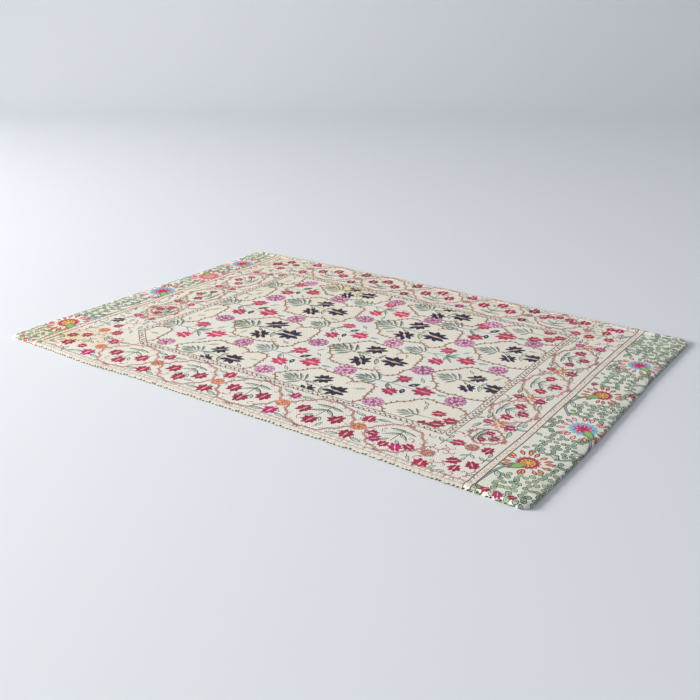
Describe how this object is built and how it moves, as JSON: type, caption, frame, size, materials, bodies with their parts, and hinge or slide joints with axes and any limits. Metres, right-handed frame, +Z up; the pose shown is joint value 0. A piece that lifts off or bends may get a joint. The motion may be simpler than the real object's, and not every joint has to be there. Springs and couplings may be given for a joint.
{
  "type": "printed rug",
  "caption": "Flat woven rug with a traditional floral print, a turned puffy hem and softly rounded corners, lying flat on the floor.",
  "frame": {"origin": "middle of the flat underside, on the floor", "axes": "+X along the rug's long side, +Y along its short side, +Z up from the floor through the printed face"},
  "size_m": [0.913, 0.619, 0.0073],
  "materials": {
    "cloth": "matt woven cloth with a printed face"
  },
  "bodies": {
    "root": {"rug": "cloth"}
  },
  "joints": []
}
